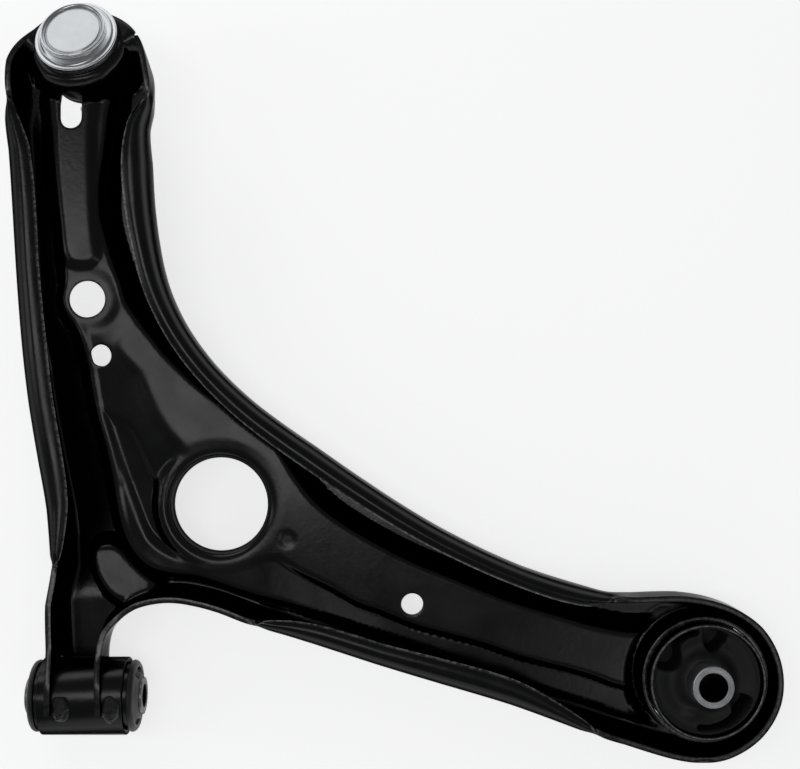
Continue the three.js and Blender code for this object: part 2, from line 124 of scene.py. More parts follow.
# The rim, anticlockwise from the leg's right side: x and y of its outermost edge, the width of its curled
# lip, the height of its top edge and the height where it is widest.
RIM = [
    (12.4, -6, 0, 23.5, 20), (12, 10, 0, 23.5, 20), (11.6, 24, 0, 19, 16), (14.2, 36.1, 0, 17, 15),
    (20.2, 43.1, 0, 15, 13), (29.9, 49.9, 0, 15, 13), (46, 53.1, 0, 15, 13), (59, 51.8, 0, 15, 13),
    (75.1, 47.5, 0, 15, 13), (92.9, 40.3, 3, 15, 11), (110, 34.2, 9, 14, 6), (126.3, 28.8, 12, 14, 5),
    (159.6, 17.9, 13, 14, 5), (195.1, 7, 15, 14, 5), (231.7, -3.9, 15, 14, 5), (256, -12, 10, 14.5, 7),
    (272, -17.2, 5, 15, 9), (293.4, -23.2, 0, 15, 13), (314.3, -29.7, 0, 15, 13), (331, -32.9, 0, 15, 13),
    (348.1, -31.4, 0, 15, 13), (366.8, -20, 0, 15, 13), (377.7, -1.2, 0, 15, 13), (377.7, 20.6, 0, 15, 13),
    (367.4, 40, 0, 15, 13), (348.4, 51.9, 0, 15, 13), (324.5, 56.8, 0, 15, 13), (300, 56.2, 0, 15, 13),
    (288, 57, 3, 15, 7), (275, 59.7, 8, 14, -4), (239.4, 70.8, 9, 14, -8), (192.7, 93.1, 10, 14, -8),
    (157.1, 115.3, 11, 14, -8), (124.9, 137.5, 11.5, 14, -8), (93.8, 159.8, 11, 14, -8),
    (70.4, 182, 10.5, 14, -8), (54.3, 204.2, 10.5, 14, -8), (44.3, 226.5, 11, 14, -8),
    (39.3, 248.7, 12, 14, -8), (36.5, 270.9, 13, 14, -8), (35.4, 293.2, 13, 15, -6), (34.6, 311, 9, 15, 0),
    (37.2, 321, 5, 15, 8), (37.2, 332, 2, 15, 13), (35.6, 343.4, 0, 15, 13), (32.6, 356, 0, 15, 12),
    (26, 365, 0, 13, 10), (14.7, 371.9, 0, 8.5, 6), (-1.5, 377, 0, 5, 3), (-15, 373.5, 0, 6.5, 4),
    (-26.2, 363.3, 0, 11, 9), (-34, 356, 0, 14, 12), (-40, 346, 0, 15, 13), (-40.8, 327, 3, 15, 12),
    (-42.2, 315, 8, 15, 10), (-40.9, 298, 13, 15, 8), (-37.3, 236, 14, 14, 8), (-34.1, 193, 15, 14, 8),
    (-30.3, 160, 15, 14, 8), (-24.8, 127, 15, 14, 8), (-20.5, 103, 13, 14, 8), (-17.6, 78, 6, 15, 10),
    (-16.2, 69, 2, 15, 12), (-18.6, 52, 0, 17, 15), (-17.8, 28, 0, 19, 16), (-17.6, 10, 0, 23.5, 20),
    (-17.6, -6, 0, 23.5, 20),
]
RIM_STEP = 2.0
RIM_FOOT = 9  # how far in from the edge the rim's section meets the web
RIM_BEYOND = RIM_FOOT + 2.5  # a point on the web that sets the slope at the foot
RIM_ROWS = [2, 3, 3, 3, 3, 4, 4, 3]  # rows of points along each stretch of the rim's section
WEB_STEP = 1.35

# Heights of the middle of the sheet.
VALLEY = -15.2  # between the crown and the flange
MOAT = -14  # round the collar
LEDGE = -5  # the long ledge, at its far end
PIN_HOLE_SEAT = 3.4
BIG_HOLE_SEAT = 7.6
CROWN_LOW = 3.5
HUB = {"x": 70, "y": 115, "spread": 62, "rise": 5}  # where the crown swells highest

# The raised crown, once round: its lower shoulder from the pad to the collar, then its upper shoulder back.
CROWN = [
    (-19, 335), (-19, 321), (-17, 289), (-13, 259), (-11, 239), (-7, 214), (-2, 197), (2, 180), (5, 160),
    (12, 135), (18, 101), (22, 88), (30, 77), (42, 70), (61, 68), (85, 60), (110, 53), (140, 45), (170, 36),
    (190, 29), (205, 23), (230, 14), (250, 8), (270, 2), (286, -3), (293, -6), (325, -12), (325, 30),
    (296, 34), (280, 37), (260, 43), (230, 52), (200, 64), (180, 72), (160, 82), (140, 94), (125, 106),
    (113, 122), (104, 137), (86, 152), (67, 165), (53, 177), (43, 187), (35, 197), (28, 206), (21, 216),
    (18, 226), (13, 240), (9, 254), (7, 265), (7, 284), (9, 299), (11, 319), (12, 335),
]
# The raised strip on the limb, from the ball joint to the first round hole.
LIMB_RIB = [
    (-16, 345), (-16.5, 311), (-15.5, 289), (-12.5, 259), (-10.5, 243), (-8, 238), (2, 237), (6, 240),
    (5.5, 250), (4.4, 264), (3.4, 289), (3.4, 311), (3, 345),
]
# The lower step along the crown's right side, from the large hole to the rear bush.
LONG_LEDGE = [
    (106, 79), (112, 75), (120, 70), (137, 61), (150, 53), (160, 49.5), (180, 41), (200, 35.5), (220, 30),
    (240, 23), (261, 18), (279, 13), (289, 9), (300, 5), (300, -30), (250, -12), (190, 10), (150, 20),
    (100, 35), (70, 60), (82, 72),
]
# The sunk pocket left of the large hole.
POCKET = [
    (10, 157), (13, 145), (21, 120), (28, 101), (34, 88), (43, 80.5), (60, 74), (70, 74), (50, 92),
    (43, 112), (37.5, 124), (31.5, 138), (26.5, 147), (19, 152),
]
# The slanted patch where the leg meets the crown.
LEG_PATCH = [(4, 80), (15, 81), (23, 73), (30, 66), (37, 59), (24, 51), (14, 54), (5, 66)]
# The crown lies level inside this region and falls away outside it, to the left of the hub.
HUB_FACE = [
    (24, 192), (34, 180), (40, 166), (45, 155), (52, 145), (61, 134), (64, 110), (66, 80), (90, 40),
    (200, 0), (200, 140), (60, 210),
]

# ---------------------------------------------------------------- curves and fields


def smoothstep(value, low, high):
    share = np.clip((value - low) / (high - low), 0, 1)
    return share * share * (3 - 2 * share)


def mix(a, b, share):
    return a + (b - a) * share


def spline(points, step, closed=False):
    """Points about step apart on a centripetal Catmull-Rom curve; columns past x and y are carried along."""
    points = np.asarray(points, float)
    if closed:
        chain = np.vstack([points[-1:], points, points[:2]])
    else:
        chain = np.vstack([2 * points[:1] - points[1:2], points, 2 * points[-1:] - points[-2:-1]])
    made = []
    for a, b, c, d in zip(chain, chain[1:], chain[2:], chain[3:]):
        knots = np.cumsum([0] + [math.sqrt(math.dist(p[:2], q[:2])) for p, q in ((a, b), (b, c), (c, d))])
        count = max(1, round(math.dist(b[:2], c[:2]) / step))
        for t in np.linspace(knots[1], knots[2], count, endpoint=False):
            level = [(a, 0), (b, 1), (c, 2), (d, 3)]
            for reach in (1, 2, 3):
                level = [
                    (p + (q - p) * (t - knots[i]) / (knots[i + reach] - knots[i]), i)
                    for (p, i), (q, _) in zip(level, level[1:])
                ]
            made.append(level[0][0])
    if not closed:
        made.append(points[-1])
    return np.array(made)


def inside(outline, x, y):
    """How far each point lies inside a closed outline, and less than 0 outside it."""
    a = np.asarray(outline, float)[:, :2]
    b = np.roll(a, -1, axis=0)
    run = b - a
    made = np.empty(len(x))
    for start in range(0, len(x), 4000):
        px = x[start : start + 4000, None]
        py = y[start : start + 4000, None]
        share = ((px - a[:, 0]) * run[:, 0] + (py - a[:, 1]) * run[:, 1]) / (run**2).sum(1)
        share = np.clip(share, 0, 1)
        near = np.hypot(px - a[:, 0] - share * run[:, 0], py - a[:, 1] - share * run[:, 1]).min(1)
        straddles = (a[:, 1] > py) != (b[:, 1] > py)
        rise = np.where(run[:, 1] == 0, 1, run[:, 1])
        crosses = straddles & (px < a[:, 0] + (py - a[:, 1]) * run[:, 0] / rise)
        made[start : start + 4000] = np.where(crosses.sum(1) % 2 == 1, near, -near)
    return made


def circle(x, y, r, step):
    count = max(16, round(2 * math.pi * r / step))
    turn = np.arange(count) * 2 * math.pi / count
    return np.column_stack([x + r * np.cos(turn), y + r * np.sin(turn)])


rim_line = spline(RIM, RIM_STEP)
rim_outline = rim_line[::3, :2]
soft_outlines = {
    "crown": spline(CROWN, 5, closed=True),
    "rib": spline(LIMB_RIB, 4, closed=True),
    "ledge": spline(LONG_LEDGE, 5, closed=True),
    "pocket": spline(POCKET, 3, closed=True),
    "patch": spline(LEG_PATCH, 3, closed=True),
    "face": spline(HUB_FACE, 4, closed=True),
}
pad_centre = JOINT_AT - PAD["depth"] * STUD_AXIS


def pad_height(x, y):
    """Height of the plane that the ball joint's pad lies in."""
    n = STUD_AXIS
    return pad_centre.z - (n.x * (x - pad_centre.x) + n.y * (y - pad_centre.y)) / n.z


def web_height(x, y):
    """Height of the middle of the sheet inside the rim."""

    def within(name):
        return inside(soft_outlines[name], x, y)

    swell = np.exp(-((x - HUB["x"]) ** 2 + (y - HUB["y"]) ** 2) / (2 * HUB["spread"] ** 2))
    crown = CROWN_LOW + HUB["rise"] * swell
    depth = inside(rim_outline, x, y)
    height = mix(VALLEY, crown, smoothstep(within("crown"), -9, 0.5) * smoothstep(depth, 8, 13))
    height = height + 2.2 * smoothstep(within("rib"), -4, 2.5)
    height = height - (1.5 + 0.02 * (157 - y)) * smoothstep(within("pocket"), -2, 4.5)
    falls = smoothstep(x, 95, 55) * smoothstep(y, 50, 90) * smoothstep(y, 210, 175)
    away = np.maximum(-within("face"), 0)
    height = height - 0.15 * falls * smoothstep(away, 0, 8) * away
    bead = np.exp(-(((within("crown") - 1.8) / 1.8) ** 2))
    bead = bead * smoothstep(x, 36, 22) * smoothstep(y, 80, 105) * smoothstep(y, 208, 192)
    height = height + 0.8 * bead
    ledge_share = smoothstep(within("ledge"), 0, 4.5) * smoothstep(x, 88, 125)
    height = mix(height, np.minimum(height, mix(crown - 3, LEDGE, smoothstep(x, 110, 180))), ledge_share)
    patch_share = smoothstep(within("patch"), -6, 1.5)
    facet = -6 - 0.14 * (x - 20) - 0.09 * (y - 65)
    height = mix(height, np.maximum(height, facet), patch_share)

    # The seats of the holes, the small dimple, the moat round the collar and the ball joint's pad.
    hole_x, hole_y, _ = SMALL_HOLES[0]
    from_pin_hole = np.hypot(x - hole_x, y - hole_y)
    height = mix(PIN_HOLE_SEAT, height, smoothstep(from_pin_hole, 12, 21))
    dimple = smoothstep(np.hypot(x - 110.7, y - 86.9), 5.8, 3)
    height = height - 0.4 * dimple
    from_big = np.hypot(x - BIG_HOLE["x"], y - BIG_HOLE["y"])
    height = mix(height, BIG_HOLE_SEAT, smoothstep(from_big, 38, 31))

    from_rear = np.hypot(x - REAR.x, y - REAR.y)
    height = mix(MOAT, height, smoothstep(from_rear, 37, 43))

    on_pad = pad_height(x, y)
    from_pad = np.sqrt((x - pad_centre.x) ** 2 + (y - pad_centre.y) ** 2 + (on_pad - pad_centre.z) ** 2)
    return mix(on_pad, height, smoothstep(from_pad, PAD["flat"], PAD["foot"]))


# ---------------------------------------------------------------- meshes


def make_object(name, points, faces, place=Matrix.Identity(4)):
    """An object from points in millimetres, in the arm's frame once place has moved them."""
    mesh = bpy.data.meshes.new(name)
    mesh.from_pydata([tuple(p) for p in np.asarray(points, float)], [], faces)
    mesh.transform(TO_ROW @ place)
    mesh.validate()
    mesh.polygons.foreach_set("use_smooth", [True] * len(mesh.polygons))
    made = bpy.data.objects.new(name, mesh)
    bpy.context.scene.collection.objects.link(made)
    return made


def modifier(piece, kind, **settings):
    made = piece.modifiers.new(kind.lower(), kind)
    for key, value in settings.items():
        setattr(made, key, value)
    return made


def settle(piece):
    """Applies the piece's modifiers to its mesh."""
    bpy.context.view_layer.update()
    evaluated = piece.evaluated_get(bpy.context.evaluated_depsgraph_get())
    mesh = bpy.data.meshes.new_from_object(evaluated)
    piece.modifiers.clear()
    piece.data = mesh
    return piece


def finish_piece(piece, body, material, slot, *nodes):
    """Gives a piece its material, hides the CAD nodes it stands for and, unless it's blended, attaches it to its
    body. slot is not used.
    """
    piece.data.materials.clear()
    piece.data.materials.append(material)
    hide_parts(*nodes)
    if body:
        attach(piece, body)
    return piece


def rounded(profile, radius, closed=True):
    """A profile of [radius, height] points with each corner rounded off by four short steps."""
    points = [np.array(p, float) for p in profile]
    made = []
    for i, here in enumerate(points):
        if not closed and i in (0, len(points) - 1):
            made.append(here)
            continue
        before, after = points[i - 1], points[(i + 1) % len(points)]
        back, on = before - here, after - here
        reach = min(radius, 0.4 * np.linalg.norm(back), 0.4 * np.linalg.norm(on))
        start = here + back / np.linalg.norm(back) * reach
        end = here + on / np.linalg.norm(on) * reach
        for t in (0, 0.25, 0.5, 0.75, 1):
            made.append((1 - t) ** 2 * start + 2 * t * (1 - t) * here + t**2 * end)
    return made


def divided(outline, step, closed):
    """The outline with its sides cut into stretches no longer than step."""
    chain = outline + outline[:1] if closed else outline
    made = []
    for p, q in zip(chain, chain[1:]):
        stretches = max(1, math.ceil(np.linalg.norm(q - p) / step))
        made += [p + (q - p) * k / stretches for k in range(stretches)]
    return made if closed else [*made, chain[-1]]


def lathe(name, profile, place, round_by=0.5, segments=128, shift=None, closed=True, fine=None):
    """Turns a profile about place's Z, with its sides cut to no more than fine where that is given.

    shift(r, z, angle) gives back a moved r and z, for teeth, recesses and threads.
    """
    outline = rounded(profile, round_by, closed)
    if fine:
        outline = divided(outline, fine, closed)
    points, faces = [], []
    size = len(outline)
    for i in range(segments):
        angle = 2 * math.pi * i / segments
        for r, z in outline:
            if shift:
                r, z = shift(r, z, angle)
            points.append((r * math.cos(angle), r * math.sin(angle), z))
        for j in range(size if closed else size - 1):
            near, far = i * size, ((i + 1) % segments) * size
            k = (j + 1) % size
            faces.append((near + j, near + k, far + k, far + j))
    made = make_object(name, points, faces, place)
    modifier(made, "WELD", merge_threshold=1e-6)
    modifier(made, "WEIGHTED_NORMAL", keep_sharp=True)
    settle(made)
    face_out(made)
    return made


def face_out(piece):
    """Makes a closed piece's faces point out, judged by the sign of its volume."""
    mesh = piece.data
    volume = 0
    for face in mesh.polygons:
        a, *rest = [mesh.vertices[i].co for i in face.vertices]
        for b, c in zip(rest, rest[1:]):
            volume += a.dot(b.cross(c))
    if volume <= 0:
        mesh.flip_normals()


def wire(name, path, radius, place):
    """A round wire along a path of points, thinner at its two ends."""
    path = [Vector(p) for p in path]
    last, sides = len(path) - 1, 12
    points, faces = [], []
    side = Vector((0, 0, 1))
    for i, here in enumerate(path):
        along = (path[min(i + 1, last)] - path[max(i - 1, 0)]).normalized()
        side = (side - along * side.dot(along)).normalized()
        other = along.cross(side)
        reach = radius * (0.6 if i in (0, last) else 1)
        for k in range(sides):
            turn = 2 * math.pi * k / sides
            points.append(here + reach * (math.cos(turn) * side + math.sin(turn) * other))
            if i:
                near, far, m = (i - 1) * sides, i * sides, (k + 1) % sides
                faces.append((near + k, near + m, far + m, far + k))
    faces.append(tuple(range(sides))[::-1])
    faces.append(tuple(range(last * sides, (last + 1) * sides)))
    made = make_object(name, points, faces, place)
    face_out(made)
    return made


def smooth_up_to(piece, degrees):
    """Smooth shading with sharp edges where faces meet at more than so many degrees."""
    piece.data.polygons.foreach_set("use_smooth", [True] * len(piece.data.polygons))
    piece.data.set_sharp_from_angle(angle=math.radians(degrees))


def filled(outer, holes, step):
    """Triangles that fill an outline round its holes: 2-D points and faces."""
    low, high = outer.min(0), outer.max(0)
    rows = np.arange(low[1], high[1], step * math.sqrt(3) / 2)
    columns = np.arange(low[0], high[0], step)
    lattice = np.array([(x + (step / 2 if i % 2 else 0), y) for i, y in enumerate(rows) for x in columns])
    margin = 0.6 * step  # keeps the lattice off the outlines, so that no sliver is made
    clear = inside(outer, lattice[:, 0], lattice[:, 1]) > margin
    for hole in holes:
        clear &= inside(hole, lattice[:, 0], lattice[:, 1]) < -margin
    lattice = lattice[clear]
    points, edges = [tuple(p) for p in lattice], []
    for loop in [outer, *holes]:
        start = len(points)
        points += [tuple(p[:2]) for p in loop]
        edges += [(start + i, start + (i + 1) % len(loop)) for i in range(len(loop))]
    made, _, faces, *_ = delaunay_2d_cdt([Vector(p) for p in points], edges, [], 0, 1e-5)
    made = np.array([tuple(p) for p in made])
    faces = np.array([tuple(f) for f in faces])
    centre = made[faces].mean(1)
    keep = inside(outer, centre[:, 0], centre[:, 1]) > 0
    for hole in holes:
        keep &= inside(hole, centre[:, 0], centre[:, 1]) < 0
    return made, faces[keep]


# ---------------------------------------------------------------- the pressed arm

# Sheared edges are painted lighter: partly worn paint over the steel, partly a painted highlight where the edges
# catch the light.
EDGE_WEAR_AND_HIGHLIGHT = "sheared_edge_wear_and_highlight"
WEAR_AND_HIGHLIGHT = {"upright": 0.12, "lip": 1, "collar": 0.3, "can": 0.5}  # how much lighter each sheared edge is painted, partly as worn paint and partly as a painted highlight


def rim_strip():
    """The rim's rows of points, from its free edge down the wall to its foot on the web.

    Each section is a cubic B-spline. Its control points, as (how far in from the edge, height), lie between those
    of a plain upright flange and those of a flange with a curled lip.
    """
    along = np.gradient(rim_line[:, :2], axis=0)
    along /= np.linalg.norm(along, axis=1)[:, None]
    inward = np.column_stack([-along[:, 1], along[:, 0]])
    x, y = rim_line[:, 0], rim_line[:, 1]
    lip, top, wide = np.maximum(rim_line[:, 2], 0), rim_line[:, 3], rim_line[:, 4]

    def on_web(depth):
        return web_height(x + inward[:, 0] * depth, y + inward[:, 1] * depth)

    foot, beyond = on_web(RIM_FOOT), on_web(RIM_BEYOND)
    rise = top - foot
    half = SHEET / 2
    heel = RIM_FOOT - 3
    upright = [
        (half, top), (half, foot + 0.92 * rise), (half, foot + 0.8 * rise), (half, foot + 0.65 * rise),
        (half, foot + 0.45 * rise), (half + 0.3, foot + 0.25 * rise), (half + 1.8, foot + 0.09 * rise),
        (heel, foot), (RIM_FOOT, foot), (RIM_BEYOND, beyond),
    ]
    curled = [
        (lip, top - 1.4), (0.75 * lip + 0.3, top - 0.2), (0.5 * lip + 0.8, top), (0.3 * lip + 0.8, top - 1.4),
        (0.12 * lip + 0.6, top - 5), (half, wide), (half + 1, foot + 0.16 * (wide - foot) + 1.5),
        (heel, foot + 0.3), (RIM_FOOT, foot), (RIM_BEYOND, beyond),
    ]
    curl = smoothstep(lip, 0, 6)
    control = [[mix(a, b, curl) for a, b in zip(*pair)] for pair in zip(upright, curled)]
    control = np.array(control).transpose(2, 0, 1)
    control = np.concatenate([2 * control[:, :1] - control[:, 1:2], control], axis=1)
    rows = []
    for i, count in enumerate(RIM_ROWS):
        p0, p1, p2, p3 = (control[:, i + k] for k in range(4))
        for t in np.arange(count) / count:
            rows.append((
                (1 - t) ** 3 * p0 + (3 * t**3 - 6 * t**2 + 4) * p1 + (1 + 3 * t + 3 * t**2 - 3 * t**3) * p2
                + t**3 * p3
            ) / 6)
    rows.append(control[:, len(RIM_ROWS) + 1])
    return np.array([
        np.column_stack([x + inward[:, 0] * row[:, 0], y + inward[:, 1] * row[:, 0], row[:, 1]]) for row in rows
    ])


def flanged_hole(x, y, section, step):
    """Rings of points round x, y, one for each (radius, height) of a flange's section, outermost first."""
    ring = circle(0, 0, 1, step / section[0][0])
    return np.array([
        np.column_stack([x + ring[:, 0] * r, y + ring[:, 1] * r, np.full(len(ring), float(z))]) for r, z in section
    ])


def strip_faces(rows, start, closed):
    """Quads between rows of points whose first point has the number start."""
    count = rows.shape[1]
    faces = []
    for i in range(rows.shape[0] - 1):
        for j in range(count if closed else count - 1):
            k = (j + 1) % count
            a, b = start + i * count, start + (i + 1) * count
            faces.append((a + j, a + k, b + k, b + j))
    return faces


def slot_outline():
    reach = SLOT["length"] / 2 - SLOT["r"]
    turn = np.linspace(0, math.pi, 16)
    across, along = SLOT["r"] * np.cos(turn), SLOT["r"] * np.sin(turn)
    upper = np.column_stack([SLOT["x"] + across, SLOT["y"] + reach + along])
    lower = np.column_stack([SLOT["x"] - across, SLOT["y"] - reach - along])
    return np.vstack([upper, lower])


def pad_hole_outline():
    ring = circle(0, 0, PAD["hole"], 2)
    turn = ON_JOINT.to_3x3()
    return np.array([tuple((pad_centre + turn @ Vector((*p, 0))).xy) for p in ring])


def arm_surface():
    """The middle surface of the pressed sheet: its points, its faces and the rim's free edge."""
    rim = rim_strip()
    down = BIG_HOLE["r"] + SHEET / 2
    up = COLLAR_WALL
    rings = [
        flanged_hole(BIG_HOLE["x"], BIG_HOLE["y"], [
            (down + 4.5, BIG_HOLE_SEAT), (down + 3, 7.4), (down + 1.8, 6.8), (down + 0.8, 5.6), (down + 0.2, 4),
            (down, 2.2), (down, 0.5),
        ], 2),
        flanged_hole(REAR.x, REAR.y, [
            (up + 3.4, MOAT), (up + 2, MOAT + 0.3), (up + 0.9, MOAT + 1.2), (up + 0.2, MOAT + 2.8),
            (up, MOAT + 5), (up, MOAT + 9), (up, -1), (up, 3), (up, 6.5), (up, COLLAR["top"]),
        ], 1.6),
    ]
    holes = [rows[0, :, :2] for rows in rings] + [circle(*hole, 1.5) for hole in SMALL_HOLES]
    holes += [slot_outline(), pad_hole_outline()]
    flat, web_faces = filled(rim[-1, :, :2], holes, WEB_STEP)
    web = np.column_stack([flat, web_height(flat[:, 0], flat[:, 1])])
    for rows in rings:
        rows[0, :, 2] = web_height(rows[0, :, 0], rows[0, :, 1])
    points, faces = [web], [tuple(int(i) for i in f) for f in web_faces]
    count = len(web)
    for rows, closed in [(rim, False), *((rows, True) for rows in rings)]:
        faces += strip_faces(rows, count, closed)
        points.append(rows.reshape(-1, 3))
        count += rows.shape[0] * rows.shape[1]
    return np.vstack(points), faces, rim[0]


def arm_shell():
    """The pressed sheet: its middle surface thickened, cut out round the eye, and its edges broken."""
    points, faces, rim_free = arm_surface()
    shell = make_object("pressed_arm", points, faces)
    from_rear = np.hypot(points[:, 0] - REAR.x, points[:, 1] - REAR.y)
    drawn_thin = (COLLAR["outer"] - COLLAR["inner"]) / SHEET
    share = mix(drawn_thin, 1, smoothstep(from_rear, COLLAR_WALL + 0.35, COLLAR_WALL + 4.15))
    group = shell.vertex_groups.new(name="thickness")
    for index, weight in enumerate(share):
        group.add([index], float(weight), "REPLACE")
    modifier(shell, "WELD", merge_threshold=2e-5)
    settle(shell)
    face_up(shell)
    modifier(shell, "SOLIDIFY", thickness=SHEET * MM, offset=0, vertex_group="thickness")
    cutter = lathe("cutter", [[0, -45], [EYE_CUT, -45], [EYE_CUT, 45], [0, 45]], ALONG_X, 0, 160, closed=False)
    modifier(shell, "BOOLEAN", object=cutter, operation="DIFFERENCE", solver="EXACT")
    modifier(shell, "BEVEL", width=0.45 * MM, segments=2, limit_method="ANGLE", angle_limit=math.radians(55))
    settle(shell)
    bpy.data.objects.remove(cutter)
    smooth_up_to(shell, 50)

    # The rim's free edge and the collar's top edge are marked to be painted lighter, as worn paint and as a
    # painted highlight.
    ring = circle(0, 0, COLLAR_WALL, 0.8)
    collar_edge = [(REAR.x + x, REAR.y + y, COLLAR["top"], WEAR_AND_HIGHLIGHT["collar"]) for x, y in ring]
    bare = mix(WEAR_AND_HIGHLIGHT["upright"], WEAR_AND_HIGHLIGHT["lip"], smoothstep(rim_line[:, 2], 1, 7))
    free = np.column_stack([rim_free, bare])
    free_edge = [tuple(a + (b - a) * t) for a, b in zip(free, free[1:]) for t in (0, 0.33, 0.67)]
    mark_edges(shell, free_edge + collar_edge, SHEET / 2 + 0.16)

    low, high = (np.array(corner) for corner in cad_box)
    for vertex in shell.data.vertices:
        vertex.co = np.clip(np.array(vertex.co), low, high)
    return finish_piece(shell, "arm", PAINT, "black_paint", "arm_shell")


def mark_edges(piece, line, reach):
    """Marks where a sheared edge is painted lighter, partly worn paint and partly a painted highlight: within
    reach of the middle of a sheared edge, given as (x, y, z, how much lighter).
    """
    tree = KDTree(len(line))
    for i, point in enumerate(line):
        tree.insert(point[:3], i)
    tree.balance()
    mark = piece.data.attributes.new(EDGE_WEAR_AND_HIGHLIGHT, "FLOAT", "POINT")
    for vertex, value in zip(piece.data.vertices, mark.data):
        _, nearest, distance = tree.find(TO_ARM @ vertex.co)
        value.value = float(line[nearest][3]) if distance < reach else 0


def face_up(piece):
    """Turns the sheet's faces the same way round, with the web's facing up."""
    bm = bmesh.new()
    bm.from_mesh(piece.data)
    bmesh.ops.recalc_face_normals(bm, faces=bm.faces)
    up = sum(f.normal.z * f.calc_area() for f in bm.faces)
    if up < 0:
        bmesh.ops.reverse_faces(bm, faces=bm.faces)
    bm.to_mesh(piece.data)
    bm.free()


# ---------------------------------------------------------------- materials


def new_material(name, color, roughness, metallic):
    made = bpy.data.materials.new(name)
    made.use_nodes = True
    shader = made.node_tree.nodes["Principled BSDF"]
    shader.inputs["Base Color"].default_value = (*color, 1)
    shader.inputs["Roughness"].default_value = roughness
    shader.inputs["Metallic"].default_value = metallic
    return made, made.node_tree, shader


def place_coordinates(tree):
    return tree.nodes.new("ShaderNodeTexCoord").outputs["Object"]


def noise_field(tree, scale, detail):
    field = tree.nodes.new("ShaderNodeTexNoise")
    field.inputs["Scale"].default_value = scale
    field.inputs["Detail"].default_value = detail
    field.inputs["Roughness"].default_value = 0.55
    tree.links.new(place_coordinates(tree), field.inputs["Vector"])
    return field.outputs["Fac"]


def remap(tree, source, low, high, to_low, to_high):
    made = tree.nodes.new("ShaderNodeMapRange")
    made.inputs["From Min"].default_value = low
    made.inputs["From Max"].default_value = high
    made.inputs["To Min"].default_value = to_low
    made.inputs["To Max"].default_value = to_high
    tree.links.new(source, made.inputs["Value"])
    return made.outputs["Result"]


def two_tone(tree, source, first, second):
    """Goes from the first colour to the second as source goes from 0 to 1; either can be a node's output."""
    made = tree.nodes.new("ShaderNodeMix")
    made.data_type = "RGBA"
    for name, tone in (("A", first), ("B", second)):
        if isinstance(tone, tuple):
            made.inputs[name].default_value = (*tone, 1)
        else:
            tree.links.new(tone, made.inputs[name])
    tree.links.new(source, made.inputs["Factor"])
    return made.outputs["Result"]


def length_of(tree, vector):
    made = tree.nodes.new("ShaderNodeVectorMath")
    made.operation = "LENGTH"
    tree.links.new(vector, made.inputs[0])
    return made.outputs["Value"]


def combined(tree, operation, first, second):
    made = tree.nodes.new("ShaderNodeMath")
    made.operation = operation
    tree.links.new(first, made.inputs[0])
    tree.links.new(second, made.inputs[1])
    return made.outputs["Value"]


def bump(tree, source, strength, distance, before=None):
    made = tree.nodes.new("ShaderNodeBump")
    made.inputs["Strength"].default_value = strength
    made.inputs["Distance"].default_value = distance
    tree.links.new(source, made.inputs["Height"])
    if before:
        tree.links.new(before, made.inputs["Normal"])
    return made.outputs["Normal"]


def black_paint():
    """Gloss black paint as a dark metal, which reflects little more at a glancing angle than straight on.

    That keeps the walls from mirroring the pale floor. Where a sheared edge is marked, a light grey is painted in,
    partly as steel showing through worn paint and partly as a painted highlight along the edge.
    """
    coat_color, fleck_color, steel = (0.045, 0.045, 0.046), (0.09, 0.09, 0.092), (0.42, 0.42, 0.43)
    made, tree, shader = new_material("black_paint", coat_color, 0.3, 1)
    shader.inputs["Specular Tint"].default_value = (0.3, 0.3, 0.3, 1)
    wash = noise_field(tree, 45, 5)
    tree.links.new(remap(tree, wash, 0.35, 0.7, 0.17, 0.27), shader.inputs["Roughness"])
    specks = remap(tree, noise_field(tree, 700, 2), 0.7, 0.76, 0, 0.5)
    coat = two_tone(tree, specks, coat_color, fleck_color)
    # Painted highlight and wear: marked sheared edges get a light grey, non-metallic colour, broken into dashes by
    # noise.
    edge = tree.nodes.new("ShaderNodeAttribute")
    edge.attribute_name = EDGE_WEAR_AND_HIGHLIGHT
    broken = remap(tree, noise_field(tree, 420, 3), 0.4, 0.6, 0.25, 1)
    worn_and_lit = combined(tree, "MULTIPLY", edge.outputs["Fac"], broken)
    tree.links.new(two_tone(tree, worn_and_lit, coat, steel), shader.inputs["Base Color"])
    tree.links.new(remap(tree, worn_and_lit, 0, 1, 1, 0), shader.inputs["Metallic"])
    peel = bump(tree, noise_field(tree, 260, 2), 0.12, 0.0004)
    tree.links.new(bump(tree, noise_field(tree, 1400, 3), 0.12, 0.0001, peel), shader.inputs["Normal"])
    return made


def weld_metal():
    made, tree, shader = new_material("painted_weld", (0.012, 0.012, 0.013), 0.22, 0)
    rough = remap(tree, noise_field(tree, 500, 4), 0.35, 0.65, 0.08, 0.24)
    tree.links.new(rough, shader.inputs["Roughness"])
    tone = two_tone(tree, noise_field(tree, 300, 3), (0.006, 0.006, 0.006), (0.014, 0.014, 0.015))
    tree.links.new(tone, shader.inputs["Base Color"])
    tree.links.new(bump(tree, noise_field(tree, 900, 4), 0.8, 0.0006), shader.inputs["Normal"])
    return made


def black_rubber():
    made, tree, shader = new_material("black_rubber", (0.02, 0.02, 0.021), 0.55, 0)
    mottle = noise_field(tree, 120, 5)
    tone = two_tone(tree, mottle, (0.012, 0.012, 0.013), (0.035, 0.035, 0.036))
    tree.links.new(tone, shader.inputs["Base Color"])
    tree.links.new(remap(tree, mottle, 0.3, 0.7, 0.42, 0.62), shader.inputs["Roughness"])
    tree.links.new(bump(tree, noise_field(tree, 1800, 3), 0.25, 0.0001), shader.inputs["Normal"])
    return made


